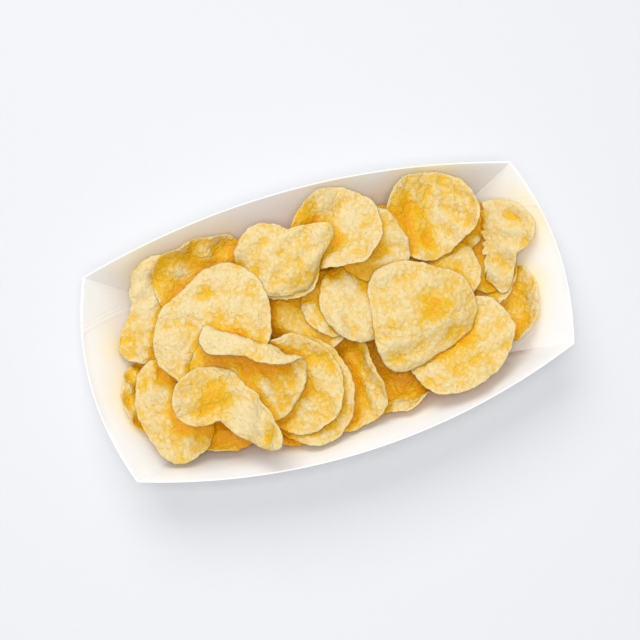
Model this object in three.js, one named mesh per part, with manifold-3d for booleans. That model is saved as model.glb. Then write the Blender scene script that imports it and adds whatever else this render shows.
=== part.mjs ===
// A folded paper food tray heaped with potato crisps.
// Millimetres, +X along the tray, +Y towards its back wall, +Z up.
// The origin is the middle of the flat base, on the surface that the tray stands on.

import * as THREE from "three";
import { mergeVertices } from "three/addons/utils/BufferGeometryUtils.js";
import Module from "manifold-3d";

// ---- Driving dimensions: the tray -------------------------------------------------------

const BOARD = 0.6; // thickness of the paperboard
const BASE_LENGTH = 174;
const BASE_WIDTH = 84;
const CORNER_X = 118; // how far out the rim's four corners are
const LEFT_CORNER_Y = 56; // half the rim's width from corner to corner, at each end
const RIGHT_CORNER_Y = 52;
const CORNER_HEIGHT = 36;
const SIDE_RISE = 4; // how much higher the rim is in the middle of a side wall
const END_RISE = 2; // and in the middle of an end wall
const FRONT_BOW = 20.8; // how far each wall's rim bows out between its corners
const BACK_BOW = 15.7;
const LEFT_BOW = 10.3;
const RIGHT_BOW = 8.2;
const WEB_REACH = 0.53; // part of half an end wall that a folded corner web covers
const WEB_FOOT = 0.03; // the level at which a web's free edge leaves the base's corner

// ---- Driving dimensions: the crisps -----------------------------------------------------

const CRISP_THICKNESS = 1.4;
const WALL_CLEARANCE = 1.3; // between the crisps and the outside of the walls, measured level
const FUSE_DEPTH = 3; // how deep each crisp is pressed into what it lies on
const CORE_HALF_LENGTH = 101; // the hidden mound that carries the crisps
const CORE_HALF_WIDTH = 53;
const CORE_EDGE_HEIGHT = 19;
const CORE_TOP_HEIGHT = 23;
const CORE_FOOT = 0.76; // the mound's foot as a share of its plan
const CORE_SQUARENESS = 3;
const CRISP_SQUARENESS = 2.15; // 2 would make each crisp's outline an ellipse

// Waves round each crisp, as shares of its reach for its outline and in millimetres up and
// down for its edge. Each crisp's number shifts them, so that no two look alike.
const OUTLINE_WAVES = [
  { count: 3, size: 0.022, shift: 1.7 },
  { count: 5, size: 0.012, shift: 3.9 },
  { count: 8, size: 0.008, shift: 7.1 },
];
const EDGE_WAVES = [
  { count: 3, size: 0.9, shift: 2.9 },
  { count: 5, size: 0.5, shift: -3.8 },
];

// ---- How finely things are divided ------------------------------------------------------

const SIDE_STEPS = 16; // along a side wall
const END_STEPS = 5; // along an end wall between its webs
const WEB_STEPS = 2; // along a web
const CORE_STEPS = 28; // round the mound
const CRISP_STEPS = 20; // round a crisp
const SAMPLE_STEPS = 72; // round a crisp, where it is tried against the heap
const SAMPLE_RINGS = 24;
const BEND_STEPS = 12; // along a bent strip
const HEAP_CELL = 1.5; // of the grid of heights

// Each crisp by its middle, its long and wide measure and the bearing of the long one. One
// side curls up towards `curlTo`, to a slope of `curl` at its edge, and the other side to a
// slope of `back`, both sharper near the edge the higher `power` is. A negative slope bends
// down, and the slope grows no further past `full`, a share of the way out. `cross` lifts the
// edges across the curl, and the crisp leans, downhill towards `leanTo`. Each of its `bumps`
// is a bearing, how much further out the edge is there, as a share, and how far round it
// spreads. A broken one ends in a straight edge, `cut` from its middle towards `cutTo`, and
// `press` lets one settle deeper than the others. Lengths are millimetres and bearings are
// degrees from +X. They are listed in the order in which they were laid down.
const CRISPS = [
  { name: "left_low", x: -99, y: -14, long: 42, wide: 38, turn: 90,
    curlTo: 180, curl: 35, lean: 14, leanTo: 0 },
  { name: "front_low", x: -65, y: -39, long: 36, wide: 30, turn: 10,
    cross: -2, lean: 18, leanTo: 80 },
  { name: "front_scrap", x: -31, y: -48, long: 34, wide: 24, turn: 10,
    cross: -2, lean: 18, leanTo: 80 },
  { name: "dark_middle", x: -2, y: -14, long: 46, wide: 40, turn: 20, lean: 8, leanTo: 100 },
  { name: "right_end", x: 96, y: -19, long: 42, wide: 36, turn: 70,
    curlTo: -20, curl: 40, back: 30, cross: 2, lean: 15, leanTo: 170 },
  { name: "right_inner", x: 88, y: 0, long: 40, wide: 34, turn: 60, lean: 12, leanTo: 150 },
  { name: "under_broken", x: 90, y: 10, long: 44, wide: 34, turn: 75, curlTo: 185, curl: 40,
    back: 10, lean: 4, leanTo: 10 },
  { name: "under_top_right", x: 76, y: 31, long: 42, wide: 38, turn: 10,
    cross: 3, lean: 7, leanTo: -80 },
  { name: "right_deep", x: 64, y: 6, long: 44, wide: 38, turn: 0, lean: 10, leanTo: 80 },
  { name: "front_bowl", x: 27, y: -44, long: 40, wide: 36, turn: 10, curlTo: -80, curl: 45,
    back: 10, lean: 10, leanTo: 90 },
  { name: "trough", x: -3, y: -36, long: 52, wide: 44, turn: 100, curlTo: 10, curl: 65,
    back: 30, power: 1.3, lean: 6, leanTo: 90, bumps: [[55, 0.12, 18], [-45, 0.08, 18]] },
  { name: "middle_deep", x: 0, y: 9, long: 48, wide: 42, turn: 40, curlTo: 40, curl: 38, back: 38,
    lean: 3, leanTo: -50 },
  { name: "left_deep", x: -72, y: 18, long: 56, wide: 46, turn: 60, curlTo: 150, curl: 36,
    back: 10, lean: 2, leanTo: 0 },
  { name: "strip", x: -10, y: 6, long: 50, wide: 50, turn: 35, curlTo: 215, curl: -55, power: 3,
    full: 0.8, lean: 2, leanTo: 40 },
  { name: "left_curl", x: -86, y: 30, long: 55, wide: 40, turn: 68, curlTo: 165, curl: -45,
    back: -20, power: 1.4, lean: 8, leanTo: -70,
    bumps: [[165, -0.36, 26], [-146, 0.26, 14], [-122, 0.1, 14]] },
  { name: "back_curl", x: -58, y: 38, long: 52, wide: 44, turn: 14, curlTo: 100, curl: 55, back: 5,
    power: 1.4, lean: 8, leanTo: -80, bumps: [[140, 0.15, 18], [38, 0.12, 14]] },
  { name: "stack_low", x: -22, y: -35, long: 58, wide: 48, turn: 100, curlTo: 100, curl: 35,
    back: 8, cross: 3, lean: 5, leanTo: 200 },
  { name: "stack_top", x: -25, y: -31, long: 54, wide: 44, turn: 100, curlTo: 100, curl: 35,
    back: 8, cross: 3, lean: 5, leanTo: 200 },
  { name: "middle_small", x: 4, y: 5, long: 38, wide: 33, turn: 90, lean: 8, leanTo: 60 },
  { name: "middle_pale", x: 18, y: 3, long: 46, wide: 42, turn: 70,
    cross: -2, lean: 6, leanTo: 60 },
  { name: "top_right", x: 69, y: 36, long: 54, wide: 46, turn: -30, curlTo: -30, curl: 45,
    back: 35, cross: 3, lean: 6, leanTo: -90,
    bumps: [[-129, 0.12, 16], [-60, -0.16, 20], [62, 0.06, 16]] },
  { name: "pale_oval", x: 32, y: 29, long: 44, wide: 38, turn: -60,
    cross: -2, lean: 6, leanTo: -60 },
  { name: "top_middle", x: 17, y: 40.5, long: 50, wide: 46, turn: -28, curlTo: -60, curl: 40,
    back: 45, cross: 2, lean: 3, leanTo: 90 },
  { name: "lobe", x: -15, y: 27, long: 36, wide: 32, turn: 0, lean: 4, leanTo: 0 },
  { name: "folded_wing", x: -16, y: 34, long: 46, wide: 42, turn: -5, curlTo: -62, curl: -75,
    power: 3, lean: 2, leanTo: 200, bumps: [[12, 0.4, 12], [58, -0.3, 22]] },
  { name: "right_middle", x: 61, y: -36, long: 59, wide: 46, turn: 20,
    cross: 2, lean: 8, leanTo: 110, bumps: [[45, 0.06, 15]] },
  { name: "left_front", x: -90, y: -23, long: 56, wide: 38, turn: 98,
    curlTo: 8, curl: -30, back: -10, cross: -2, lean: 3, leanTo: 0, bumps: [[-115, 0.15, 20]] },
  { name: "under_left", x: -60, y: 2, long: 44, wide: 36, turn: 50, curlTo: 50, curl: 30, back: 25,
    cross: 3, lean: 3, leanTo: 20 },
  { name: "big_left", x: -59, y: 9, long: 68, wide: 58, turn: 48,
    cross: -3, lean: 4, leanTo: 200, press: 3, bumps: [[108, -0.17, 18]] },
  { name: "rolled_lip", x: -48, y: -17, long: 60, wide: 58, turn: -35, curlTo: 55, curl: 165,
    back: 12, power: 3, full: 0.65, lean: 4, leanTo: -100,
    bumps: [[97, 0.3, 16], [64, -0.16, 14], [125, -0.12, 15]] },
  { name: "arch", x: -65, y: -31, long: 50, wide: 36, turn: 150, curlTo: -17, curl: 50, back: 28,
    lean: 8, leanTo: -60,
    bumps: [[-50, 0.75, 13], [-118, -0.5, 24], [15, -0.26, 24], [170, 0.12, 20]] },
  { name: "broken", x: 100, y: 13.5, long: 44, wide: 40, turn: 60, curlTo: -18, curl: 12, back: 20,
    cut: 9, cutTo: 165, lean: 15, leanTo: 200, bumps: [[-103, 0.4, 10], [-55, -0.4, 26]] },
  { name: "dome", x: 48, y: -10.5, long: 54, wide: 52, turn: -12,
    curlTo: -62, curl: -30, back: -6, cross: -3, lean: 3, leanTo: -60,
    bumps: [[-128, 0.4, 22], [-25, 0.12, 22], [60, -0.15, 28], [135, 0.14, 14]] },
];

const degrees = Math.PI / 180;
const fullTurn = 2 * Math.PI;

const steps = (from, to, count) =>
  Array.from({ length: count + 1 }, (_, i) => THREE.MathUtils.lerp(from, to, i / count));

const stepsRound = (count) => steps(0, fullTurn, count).slice(1);

// ---- Solids -----------------------------------------------------------------------------

const wasm = await Module();
wasm.setup();

// A closed surface over a row of rings of points. Its first and last ring are one point each.
function loft(rings) {
  const positions = rings.flat().flatMap((point) => point.toArray());
  const index = [];
  let start = 0;
  for (let row = 0; row + 1 < rings.length; row += 1) {
    const lower = rings[row].length;
    const upper = rings[row + 1].length;
    for (let i = 0; i < Math.max(lower, upper); i += 1) {
      const a = start + (i % lower);
      const b = start + ((i + 1) % lower);
      const c = start + lower + ((i + 1) % upper);
      const d = start + lower + (i % upper);
      index.push(a, b, c, a, c, d);
    }
    start += lower;
  }
  const geometry = new THREE.BufferGeometry();
  geometry.setAttribute("position", new THREE.Float32BufferAttribute(positions, 3));
  geometry.setIndex(index);
  return geometry;
}

// Shared points are joined, and the triangles that this closes up are left out.
function solid(geometry) {
  const merged = mergeVertices(geometry);
  const corners = merged.index.array;
  const triangles = [];
  for (let i = 0; i < corners.length; i += 3) {
    const [a, b, c] = corners.slice(i, i + 3);
    if (a !== b && b !== c && c !== a) triangles.push(a, b, c);
  }
  return new wasm.Manifold(
    new wasm.Mesh({
      numProp: 3,
      vertProperties: new Float32Array(merged.attributes.position.array),
      triVerts: new Uint32Array(triangles),
    })
  );
}

function meshOf(name, manifold, material) {
  const { vertProperties, triVerts } = manifold.getMesh();
  const geometry = new THREE.BufferGeometry();
  geometry.setAttribute("position", new THREE.BufferAttribute(vertProperties, 3));
  geometry.setIndex(new THREE.BufferAttribute(triVerts, 1));
  const mesh = new THREE.Mesh(geometry, material);
  mesh.name = name;
  return mesh;
}

// ---- The tray ---------------------------------------------------------------------------

// The walls at one level, from 0 at the base to 1 at the rim. `along` runs from -1 to 1
// between the two corners of a wall.
const atLevel = (base, rim, level) => THREE.MathUtils.lerp(base, rim, level);
const bulge = (along) => Math.max(0, 1 - along * along);

function cornerX(level) {
  return atLevel(BASE_LENGTH / 2, CORNER_X, level);
}

function cornerY(level, isRight) {
  return atLevel(BASE_WIDTH / 2, isRight ? RIGHT_CORNER_Y : LEFT_CORNER_Y, level);
}

function sideWallY(level, along, isBack) {
  const corner = THREE.MathUtils.lerp(LEFT_CORNER_Y, RIGHT_CORNER_Y, (along + 1) / 2);
  const bow = isBack ? BACK_BOW : FRONT_BOW;
  return atLevel(BASE_WIDTH / 2, corner + bow * bulge(along), level);
}

function endWallX(level, along, isRight) {
  const bow = isRight ? RIGHT_BOW : LEFT_BOW;
  return atLevel(BASE_LENGTH / 2, CORNER_X + bow * bulge(along), level);
}

function wallHeight(level, along, rise) {
  return level * (CORNER_HEIGHT + rise * bulge(along));
}

// One ring round the tray, anticlockwise from the front left corner. It is set in from the
// outer faces by `inset`, measured level, and by `web` more where a corner web is glued to
// an end wall. A web's free edge runs up from the base's corner, so it widens with the level.
function trayRing(level, inset, web) {
  const points = [];
  const side = (isBack) => {
    const sign = isBack ? 1 : -1;
    for (const along of steps(sign, -sign, SIDE_STEPS)) {
      const x = along * (cornerX(level) - inset - web);
      const y = sign * (sideWallY(level, along, isBack) - inset);
      points.push(new THREE.Vector3(x, y, wallHeight(level, along, SIDE_RISE)));
    }
  };
  const end = (isRight) => {
    const sign = isRight ? 1 : -1;
    const edge = 1 - WEB_REACH * Math.max(level, WEB_FOOT);
    const parts = [
      { alongs: steps(-1, -edge, WEB_STEPS), step: web },
      { alongs: steps(-edge, edge, END_STEPS), step: 0 },
      { alongs: steps(edge, 1, WEB_STEPS), step: web },
    ];
    for (const { alongs, step } of parts) {
      for (const along of alongs) {
        const x = sign * (endWallX(level, along, isRight) - inset - step);
        const y = sign * along * (cornerY(level, isRight) - inset);
        points.push(new THREE.Vector3(x, y, wallHeight(level, along, END_RISE)));
      }
    }
  };
  side(false);
  end(true);
  side(true);
  end(false);
  return points;
}

function trayMesh() {
  // Level of the floor's upper face, where the inner faces of the walls start.
  const floorLevel = BOARD / CORNER_HEIGHT;
  // A sloping board is wider, measured level, than it is thick.
  const sideSlope = Math.atan2(CORNER_HEIGHT, RIGHT_CORNER_Y + FRONT_BOW - BASE_WIDTH / 2);
  const inset = BOARD / Math.sin(sideSlope);
  const floorRing = trayRing(floorLevel, inset, BOARD).map((point) => point.setZ(BOARD));
  const rings = [
    [new THREE.Vector3(0, 0, 0)],
    trayRing(0, 0, 0),
    trayRing(0.5, 0, 0),
    trayRing(1, 0, 0),
    trayRing(1, inset, BOARD),
    trayRing(0.5, inset, BOARD),
    floorRing,
    [new THREE.Vector3(0, 0, BOARD)],
  ];
  const paper = new THREE.MeshStandardMaterial({ color: 0xf4f1ec, roughness: 0.8, metalness: 0 });
  return meshOf("tray", solid(loft(rings)), paper);
}

// Lowest height at which a point over (x, y) clears the tray. The walls are taken to go on
// upwards, so that no crisp hangs over the rim.
function clearOfTray(x, y) {
  const isClear = (level) => {
    const alongSide = THREE.MathUtils.clamp(x / cornerX(level), -1, 1);
    const alongEnd = THREE.MathUtils.clamp(y / cornerY(level, x > 0), -1, 1);
    const insideSides = Math.abs(y) < sideWallY(level, alongSide, y > 0) - WALL_CLEARANCE;
    return insideSides && Math.abs(x) < endWallX(level, alongEnd, x > 0) - WALL_CLEARANCE - BOARD;
  };
  const floor = 2 * BOARD;
  if (isClear(floor / CORNER_HEIGHT)) return floor;
  let low = 0;
  let high = 3;
  for (let i = 0; i < 12; i += 1) {
    const middle = (low + high) / 2;
    if (isClear(middle)) high = middle;
    else low = middle;
  }
  return high * (CORNER_HEIGHT + SIDE_RISE);
}

// ---- The mound under the crisps ---------------------------------------------------------

// How far out (x, y) is on the mound, from 0 in the middle to 1 at its edge.
function coreShare(x, y) {
  const along = Math.abs(x / CORE_HALF_LENGTH) ** CORE_SQUARENESS;
  const across = Math.abs(y / CORE_HALF_WIDTH) ** CORE_SQUARENESS;
  return (along + across) ** (1 / CORE_SQUARENESS);
}

function coreHeight(share) {
  return CORE_EDGE_HEIGHT + (CORE_TOP_HEIGHT - CORE_EDGE_HEIGHT) * (1 - share * share);
}

function coreSolid() {
  const ring = (share, z) =>
    stepsRound(CORE_STEPS).map((angle) => {
      const reach = share / coreShare(Math.cos(angle), Math.sin(angle));
      return new THREE.Vector3(reach * Math.cos(angle), reach * Math.sin(angle), z);
    });
  const floor = 2 * BOARD;
  const rings = [
    [new THREE.Vector3(0, 0, floor)],
    ring(CORE_FOOT, floor),
    ring(1, CORE_EDGE_HEIGHT),
    ring(0.7, coreHeight(0.7)),
    ring(0.35, coreHeight(0.35)),
    [new THREE.Vector3(0, 0, coreHeight(0))],
  ];
  return solid(loft(rings));
}

// ---- The crisps -------------------------------------------------------------------------

// How far a bent strip reaches, level and upwards, at the distance `along` from its middle,
// when its slope grows to `slope` at the share `full` of the distance `reach`.
function bent(along, reach, slope, power, full) {
  const step = along / BEND_STEPS;
  const slopeAt = (distance) => slope * Math.min(Math.abs(distance / reach) / full, 1) ** power;
  let level = 0;
  let up = 0;
  for (let i = 0; i < BEND_STEPS; i += 1) {
    const angle = slopeAt(step * (i + 0.5));
    level += Math.cos(angle) * step;
    up += Math.sin(angle) * Math.abs(step);
  }
  return { level, up, tilt: Math.sign(along) * slopeAt(along) };
}

function waves(list, angle, number) {
  return list.reduce(
    (sum, { count, size, shift }) => sum + size * Math.cos(count * angle + shift * number),
    0
  );
}

function bumpAt(crisp, bearing) {
  return (crisp.bumps ?? []).reduce((sum, [to, size, spread]) => {
    const away = 1 - Math.cos(bearing - to * degrees);
    return sum + size * Math.exp(-away / (spread * degrees) ** 2);
  }, 0);
}

// Distance of a crisp's edge from its middle, at the bearing `angle` from its long measure.
function outline(crisp, angle) {
  const along = Math.abs((2 * Math.cos(angle)) / crisp.long) ** CRISP_SQUARENESS;
  const across = Math.abs((2 * Math.sin(angle)) / crisp.wide) ** CRISP_SQUARENESS;
  const bearing = angle + crisp.turn * degrees;
  const uneven = 1 + bumpAt(crisp, bearing) + waves(OUTLINE_WAVES, angle, crisp.number);
  const whole = uneven * (along + across) ** (-1 / CRISP_SQUARENESS);
  const towards = crisp.cut ? Math.cos(bearing - crisp.cutTo * degrees) : 0;
  return towards > 0 ? Math.min(whole, crisp.cut / towards) : whole;
}

// A point of the crisp, before it is lifted to where it rests: `share` of the way out to the
// edge, at the bearing `angle` from its long measure, and `off` the middle of its thickness.
function crispPoint(crisp, share, angle, off) {
  const reach = share * outline(crisp, angle);
  const curlTo = (crisp.curlTo ?? 0) * degrees;
  const fromCurl = angle + crisp.turn * degrees - curlTo;
  const along = reach * Math.cos(fromCurl);
  const across = reach * Math.sin(fromCurl);
  const turned = crisp.turn * degrees - curlTo;
  const halfAlong = Math.hypot(crisp.long * Math.cos(turned), crisp.wide * Math.sin(turned)) / 2;
  const halfAcross = Math.hypot(crisp.long * Math.sin(turned), crisp.wide * Math.cos(turned)) / 2;
  const slope = (along > 0 ? crisp.curl ?? 0 : crisp.back ?? 0) * degrees;
  const { level, up, tilt } = bent(
    along,
    halfAlong,
    slope,
    crisp.power ?? 1,
    crisp.full ?? 1
  );
  const rise =
    off +
    (crisp.cross ?? 0) * (across / halfAcross) ** 2 +
    waves(EDGE_WAVES, angle, crisp.number) * share ** 3;
  const point = new THREE.Vector3(level - rise * Math.sin(tilt), across, up + rise * Math.cos(tilt));
  point.applyAxisAngle(new THREE.Vector3(0, 0, 1), curlTo);
  const leanTo = (crisp.leanTo ?? 0) * degrees;
  const leanAxis = new THREE.Vector3(-Math.sin(leanTo), Math.cos(leanTo), 0);
  point.applyAxisAngle(leanAxis, (crisp.lean ?? 0) * degrees);
  return point.add(new THREE.Vector3(crisp.x, crisp.y, 0));
}

// How high the heap is so far, over a fine grid.
class HeapHeights {
  constructor(cell) {
    this.cell = cell;
    this.heights = new Map();
  }

  key(x, y) {
    return `${Math.round(x / this.cell)},${Math.round(y / this.cell)}`;
  }

  over(x, y) {
    const share = coreShare(x, y);
    const core = share < 1 ? coreHeight(share) : 0;
    return Math.max(core, this.heights.get(this.key(x, y)) ?? 0);
  }

  add(x, y, z) {
    const key = this.key(x, y);
    this.heights.set(key, Math.max(z, this.heights.get(key) ?? 0));
  }
}

// Lowers a crisp until it rests on the tray or is pressed a little into the heap so far.
function restingHeight(crisp, heap) {
  const half = CRISP_THICKNESS / 2;
  const samples = [];
  for (const share of steps(0, 1, SAMPLE_RINGS)) {
    for (const angle of stepsRound(SAMPLE_STEPS)) {
      samples.push(crispPoint(crisp, Math.sqrt(share), angle, 0));
    }
  }
  const press = FUSE_DEPTH + (crisp.press ?? 0);
  let lift = -Infinity;
  for (const { x, y, z } of samples) {
    lift = Math.max(lift, heap.over(x, y) - press - z + half, clearOfTray(x, y) - z + half);
  }
  samples.forEach(({ x, y, z }) => heap.add(x, y, z + lift + half));
  return lift;
}

function crispSolid(crisp, lift) {
  const ring = (share, off) =>
    stepsRound(CRISP_STEPS).map((angle) => {
      const point = crispPoint(crisp, share, angle, off);
      return point.setZ(point.z + lift);
    });
  const half = CRISP_THICKNESS / 2;
  const shares = [0.4, 0.75];
  const rings = [
    ring(0, -half).slice(0, 1),
    ...shares.map((share) => ring(share, -half)),
    ring(1, 0),
    ...shares.toReversed().map((share) => ring(share, half)),
    ring(0, half).slice(0, 1),
  ];
  return solid(loft(rings));
}

function heapMesh() {
  const heap = new HeapHeights(HEAP_CELL);
  let joined = coreSolid();
  CRISPS.forEach((row, number) => {
    const crisp = { ...row, number: number + 1 };
    joined = joined.add(crispSolid(crisp, restingHeight(crisp, heap)));
  });
  // Only the outer skin of the joined heap is kept, so that no hollow is sealed in it.
  const pieces = joined.decompose();
  const whole = pieces.reduce((best, piece) => (piece.volume() > best.volume() ? piece : best));
  const potato = new THREE.MeshStandardMaterial({ color: 0xf0c050, roughness: 0.6, metalness: 0 });
  return meshOf("crisps", whole, potato);
}

const object = new THREE.Group();
object.add(trayMesh(), heapMesh());

export default object;
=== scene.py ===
"""A folded paper food tray heaped with potato crisps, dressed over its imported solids.

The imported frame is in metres: +X along the tray, +Y towards its back wall, +Z up, with the
origin in the middle of the flat base. The shapes here are worked out in millimetres, with the
same named sizes as the solids, and turned into metres where each mesh is made.
"""

import math
from dataclasses import dataclass

import bpy
import numpy as np
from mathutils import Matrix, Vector
from mathutils.kdtree import KDTree


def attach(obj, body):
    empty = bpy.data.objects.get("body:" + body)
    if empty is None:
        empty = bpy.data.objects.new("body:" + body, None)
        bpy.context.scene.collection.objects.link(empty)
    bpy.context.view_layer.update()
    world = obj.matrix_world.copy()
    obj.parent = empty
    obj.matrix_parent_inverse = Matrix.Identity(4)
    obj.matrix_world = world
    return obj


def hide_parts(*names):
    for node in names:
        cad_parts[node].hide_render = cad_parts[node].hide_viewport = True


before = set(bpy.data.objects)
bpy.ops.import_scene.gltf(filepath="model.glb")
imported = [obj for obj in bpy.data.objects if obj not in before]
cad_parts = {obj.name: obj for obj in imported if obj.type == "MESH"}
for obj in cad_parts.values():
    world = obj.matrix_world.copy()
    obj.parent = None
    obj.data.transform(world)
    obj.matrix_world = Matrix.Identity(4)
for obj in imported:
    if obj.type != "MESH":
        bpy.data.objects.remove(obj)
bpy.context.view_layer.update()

MM = 0.001
DEGREE = math.pi / 180

# ---- The tray, millimetres --------------------------------------------------------------

BOARD = 0.6  # thickness of the paperboard
BASE_LENGTH = 174
BASE_WIDTH = 84
CORNER_X = 118  # how far out the rim's four corners are
LEFT_CORNER_Y = 56  # half the rim's width from corner to corner, at each end
RIGHT_CORNER_Y = 52
CORNER_HEIGHT = 36
SIDE_RISE = 4  # how much higher the rim is in the middle of a side wall
END_RISE = 2  # and in the middle of an end wall
FRONT_BOW = 20.8  # how far each wall's rim bows out between its corners
BACK_BOW = 15.7
LEFT_BOW = 10.3
RIGHT_BOW = 8.2
LIP_ROUND = 0.25  # how far the rim's rounding reaches down
WALL_SLOPE = math.atan2(CORNER_HEIGHT, RIGHT_CORNER_Y + FRONT_BOW - BASE_WIDTH / 2)
WALL_INSET = BOARD / math.sin(WALL_SLOPE)  # the board's thickness, measured level
HIGHEST_LEVEL = 3.0  # how far up the walls are taken to go on; 1 is the rim

WEB_REACH = 0.53  # part of half an end wall that a folded corner web covers
WEB_LEVELS = (0.03, 0.998)  # of a web's foot and top
WEB_THICKNESS = 0.25
GLUE_LINE = 0.05  # between a web and its wall
PRESSED_LINES = (2.2, 4.4)  # distance of the pressed lines from a web's folds
PRESSED_WIDTH = 0.5
PRESSED_DEPTH = 0.1

# ---- The crisps, millimetres ------------------------------------------------------------

CRISP_THICKNESS = 1.4  # room that a crisp takes up in the heap
CRISP_HALF = 0.5  # half of its own thickness, without its blisters
CRISP_SQUARENESS = 2.15  # 2 would make each crisp's outline an ellipse
WALL_CLEARANCE = 1.3  # between the crisps and the outside of the walls, measured level
FUSE_DEPTH = 3  # how deep each crisp is pressed into what it lies on
CUT_FACING = 0.05  # cosine at which a broken crisp's straight edge ends

OUTLINE_WAVES = ((3, 0.022, 1.7), (5, 0.012, 3.9), (8, 0.008, 7.1))  # count, share, shift
EDGE_WAVES = ((3, 0.9, 2.9), (5, 0.5, -3.8))  # count, height, shift
NICKS = ((13, 0.16, 2.3), (19, 0.14, 4.1), (31, 0.1, 1.3), (47, 0.07, 5.7))  # likewise
TEETH = ((9.7, 0.9, 0), (5.3, 0.7, 0.3), (3.1, 0.25, 0.1))  # length, depth, shift
RIM_ROUNDNESS = 10  # power of the share of the way out by which a crisp thins to its rim
RELIEF_FADE = 12  # by which its blisters go flat there
NICK_FADE = 4  # by which the nicks come in
EDGE_FADE = 3  # and the waves of the edge

SHEET_WAVES = 4
SHEET_WAVE_LENGTHS = (9, 22)
WAVE_HEIGHT = 0.8
CREST_PALE = 0.12  # how much paler the crests of the slow waves are
UNDERSIDE_PALE = 0.35
# The rims' paler colour is a painted highlight along the crisps' edges.
RIM_FROM = 0.92  # share of the way out at which the rim's colour starts
BLISTERS = ((4.6, 0.42, 0.55), (2.3, 0.2, 0.45))  # spacing, height, paleness
BIG_BLISTERS = (13, 0.9, 0.3)
BIG_BLISTER_SHARE = 0.55  # of the big ones' places that stay flat
SCATTER = 48  # cells after which a scatter of blisters repeats

CORE_HALF_LENGTH = 101  # the hidden mound that carries the crisps
CORE_HALF_WIDTH = 53
CORE_EDGE_HEIGHT = 19  # on which the lowest crisps are laid
CORE_TOP_HEIGHT = 23
CORE_SQUARENESS = 3
CORE_PROFILE = ((0.05, 1.2), (0.76, 1.2), (0.93, 17.0), (0.9, 18.5), (0.6, 20.5), (0.3, 21.5),
                (0.05, 22.0))  # share of its plan, height

ROLLED_FROM = 60  # slope at the edge, degrees, from which a crisp counts as rolled
CURVED_FROM = 34
BURIED_COUNT = 26
BURIED_REACH = 0.78  # how far out they lie, as a share of the mound's plan
BURIED_SEED = 7
SURFACE_SEED = 1000  # to which each crisp's own number is added
TUCK_GAP = 0.25  # between a crisp and the one that it is tucked under
TUCK_ROUNDS = 150
TUCK_FADE = 0.985  # how much of the tuck is left one cell away
# Painted shade in the gaps and under other crisps, by how far a point lies below the heap's
# smoothed top.
HOLLOWS = ((4, 0.1, 1.8, 0.3), (14, 0.4, 5.0, 0.4), (50, 0.0, 12.0, 0.45))  # rounds, depths, weight

# ---- How finely things are worked out ---------------------------------------------------

SIDE_STEPS = 64  # along a side wall
END_STEPS = 40  # along an end wall
WALL_STEPS = 14  # up a wall
LIP_STEPS = 4
FLOOR_SHARES = (0.02, 0.35, 0.7)  # rings on the tray's base
WEB_ROWS = 24
WEB_COLUMNS = 81
CORE_STEPS = 96
FINE_SPACING = 0.85  # between a crisp's points
COARSE_SPACING = 1.6
SAMPLE_RINGS = 24  # of a crisp, where it is tried against the heap
SAMPLE_STEPS = 72
BEND_STEPS = 12  # along a bent strip
HALVINGS = 12  # in the search for a wall's level
HEAP_CELL = 1.5  # of the grid of heights
CEILING_CELL = 1.0
GRID_REACH = 150
TREE_STRIDE = 12  # every how many points of the crisps the paper looks at

# ---- Colours ----------------------------------------------------------------------------

CREAM = (0.77, 0.63, 0.335, 1)
GOLD = (0.77, 0.46, 0.006, 1)
# AMBER, the deepest colour, is mostly painted shade in the deep gaps between the crisps.
AMBER = (0.79, 0.36, 0.0, 1)
SPECK = (0.2, 0.07, 0.02, 1)
DRY_PAPER = ((0.93, 0.93, 0.93, 1), (0.95, 0.95, 0.95, 1))
# Painted warm light, bounced from the crisps onto the paper near them.
OILED_PAPER = (1.0, 0.82, 0.4, 1)
FLOOR = (0.73, 0.735, 0.76, 1)
RAW = -0.39  # how fried a crisp is before the terms that deepen it
WARMTH_REACH = (3.0, 7.0)  # how far oil and warm light spread, at the front and at the back
WARMTH_SPAN = (-40, 20)  # across the tray, from one reach to the other


@dataclass
class Crisp:
    """One crisp: its middle, its long and wide measure and the bearing of the long one.

    One side curls up towards curl_to, to a slope of curl at its edge, and the other side to
    a slope of back; power gathers the bend near the edge, and from the share full outwards
    the slope grows no further. cross lifts the edges across the curl, and the crisp leans
    downhill towards lean_to. bumps are lobes and notches of the outline: bearing, share and
    spread in degrees. A broken one ends in a straight edge, cut from its middle towards
    cut_to, which torn makes ragged. press is how much deeper than others it lies. tone runs
    from 0, pale, to 1, deep gold. The last table holds spots of painted light: painted shade,
    deeper gold, and painted highlight, paler where the strength is below 0: x and y from the
    crisp's middle, radius and strength. number and lift are set in the heap.
    """

    name: str
    x: float
    y: float
    long: float
    wide: float
    turn: float
    curl_to: float = 0
    curl: float = 0
    back: float = 0
    power: float = 1
    full: float = 1
    cross: float = 0
    lean: float = 0
    lean_to: float = 0
    bumps: tuple = ()
    cut: float = 0
    cut_to: float = 0
    press: float = 0
    torn: float = 0
    tone: float = 0.5
    number: int = 0
    lift: float = 0
    stains: tuple = ()


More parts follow.
